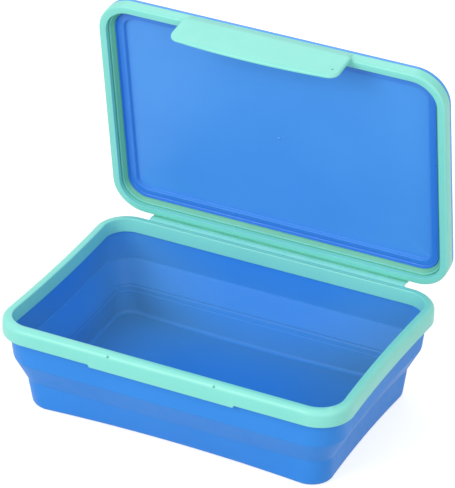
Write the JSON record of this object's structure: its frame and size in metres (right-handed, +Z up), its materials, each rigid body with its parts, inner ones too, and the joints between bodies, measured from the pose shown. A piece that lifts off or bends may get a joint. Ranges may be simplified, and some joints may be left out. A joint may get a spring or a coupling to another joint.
{
  "type": "collapsible pencil box",
  "caption": "Rectangular pencil box with soft walls that fold flat under a stiff rim, a domed lid on a moulded hinge and a wide clasp flap in front.",
  "frame": {"origin": "centre of the tub's flat underside, on the surface that the box stands on", "axes": "+Z up, +X along the box's length, -Y to the front where the clasp closes, +Y to the hinge"},
  "size_m": [0.228, 0.171, 0.2203],
  "materials": {
    "teal_plastic": "satin pale teal moulded plastic",
    "soft_blue": "matte blue elastomer with a fine moulded texture",
    "lid_blue": "satin blue moulded plastic"
  },
  "bodies": {
    "tub": {"lower_tub": "soft_blue", "fold_wall": "soft_blue"},
    "rim": {"rim_frame": "teal_plastic", "upper_wall": "soft_blue", "living_hinge": "teal_plastic"},
    "lid": {"lid_frame": "teal_plastic", "lid_panel": "lid_blue"},
    "clasp": {"clasp_flap": "teal_plastic"}
  },
  "joints": [
    {"name": "collapse", "type": "slide", "parent": "tub", "child": "rim", "axis": [0, 0, -1], "range_m": [0, 0.0322], "deforming": ["fold_wall"]},
    {"name": "lid_hinge", "type": "hinge", "parent": "rim", "child": "lid", "pos_m": [0, 0.0802, 0.0611], "axis": [-1, 0, 0], "range_deg": [-80.3, 99.7], "deforming": ["living_hinge"]},
    {"name": "clasp_flex", "type": "hinge", "parent": "lid", "child": "clasp", "pos_m": [0, 0.0623, 0.21803], "axis": [-1, 0, 0], "range_deg": [0, 15], "stiffness_Nm_per_rad": 0.15}
  ]
}
